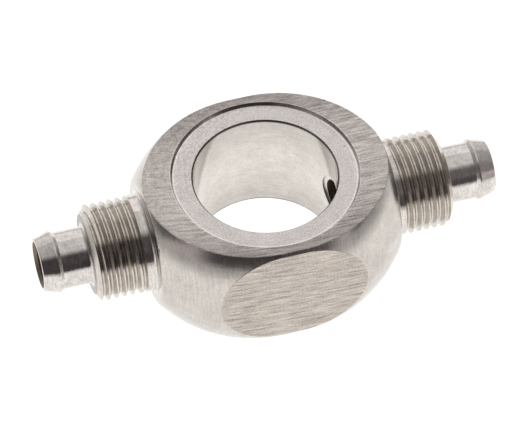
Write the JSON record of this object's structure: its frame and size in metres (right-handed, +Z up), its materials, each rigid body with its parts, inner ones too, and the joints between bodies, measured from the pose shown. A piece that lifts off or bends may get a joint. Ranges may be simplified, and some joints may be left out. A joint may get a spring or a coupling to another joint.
{
  "type": "double banjo hose fitting",
  "caption": "Flat-milled barrel ring with a vertical bore for a hollow bolt and, in line on both sides, a threaded hose nipple with a barbed spigot.",
  "frame": {"origin": "centre of the ring, where the main bore's axis crosses the line through both nipples", "axes": "+X along the nipples towards the right-hand one, +Z up along the main bore, -Y out of the front wrench flat"},
  "size_m": [0.0568, 0.0256, 0.0156],
  "materials": {
    "ring_steel": "milled and turned, matte",
    "nipple_steel": "fine turned, bright"
  },
  "bodies": {
    "root": {"ring_body": "ring_steel", "hose_nipple_left": "nipple_steel", "hose_nipple_right": "nipple_steel"}
  },
  "joints": []
}
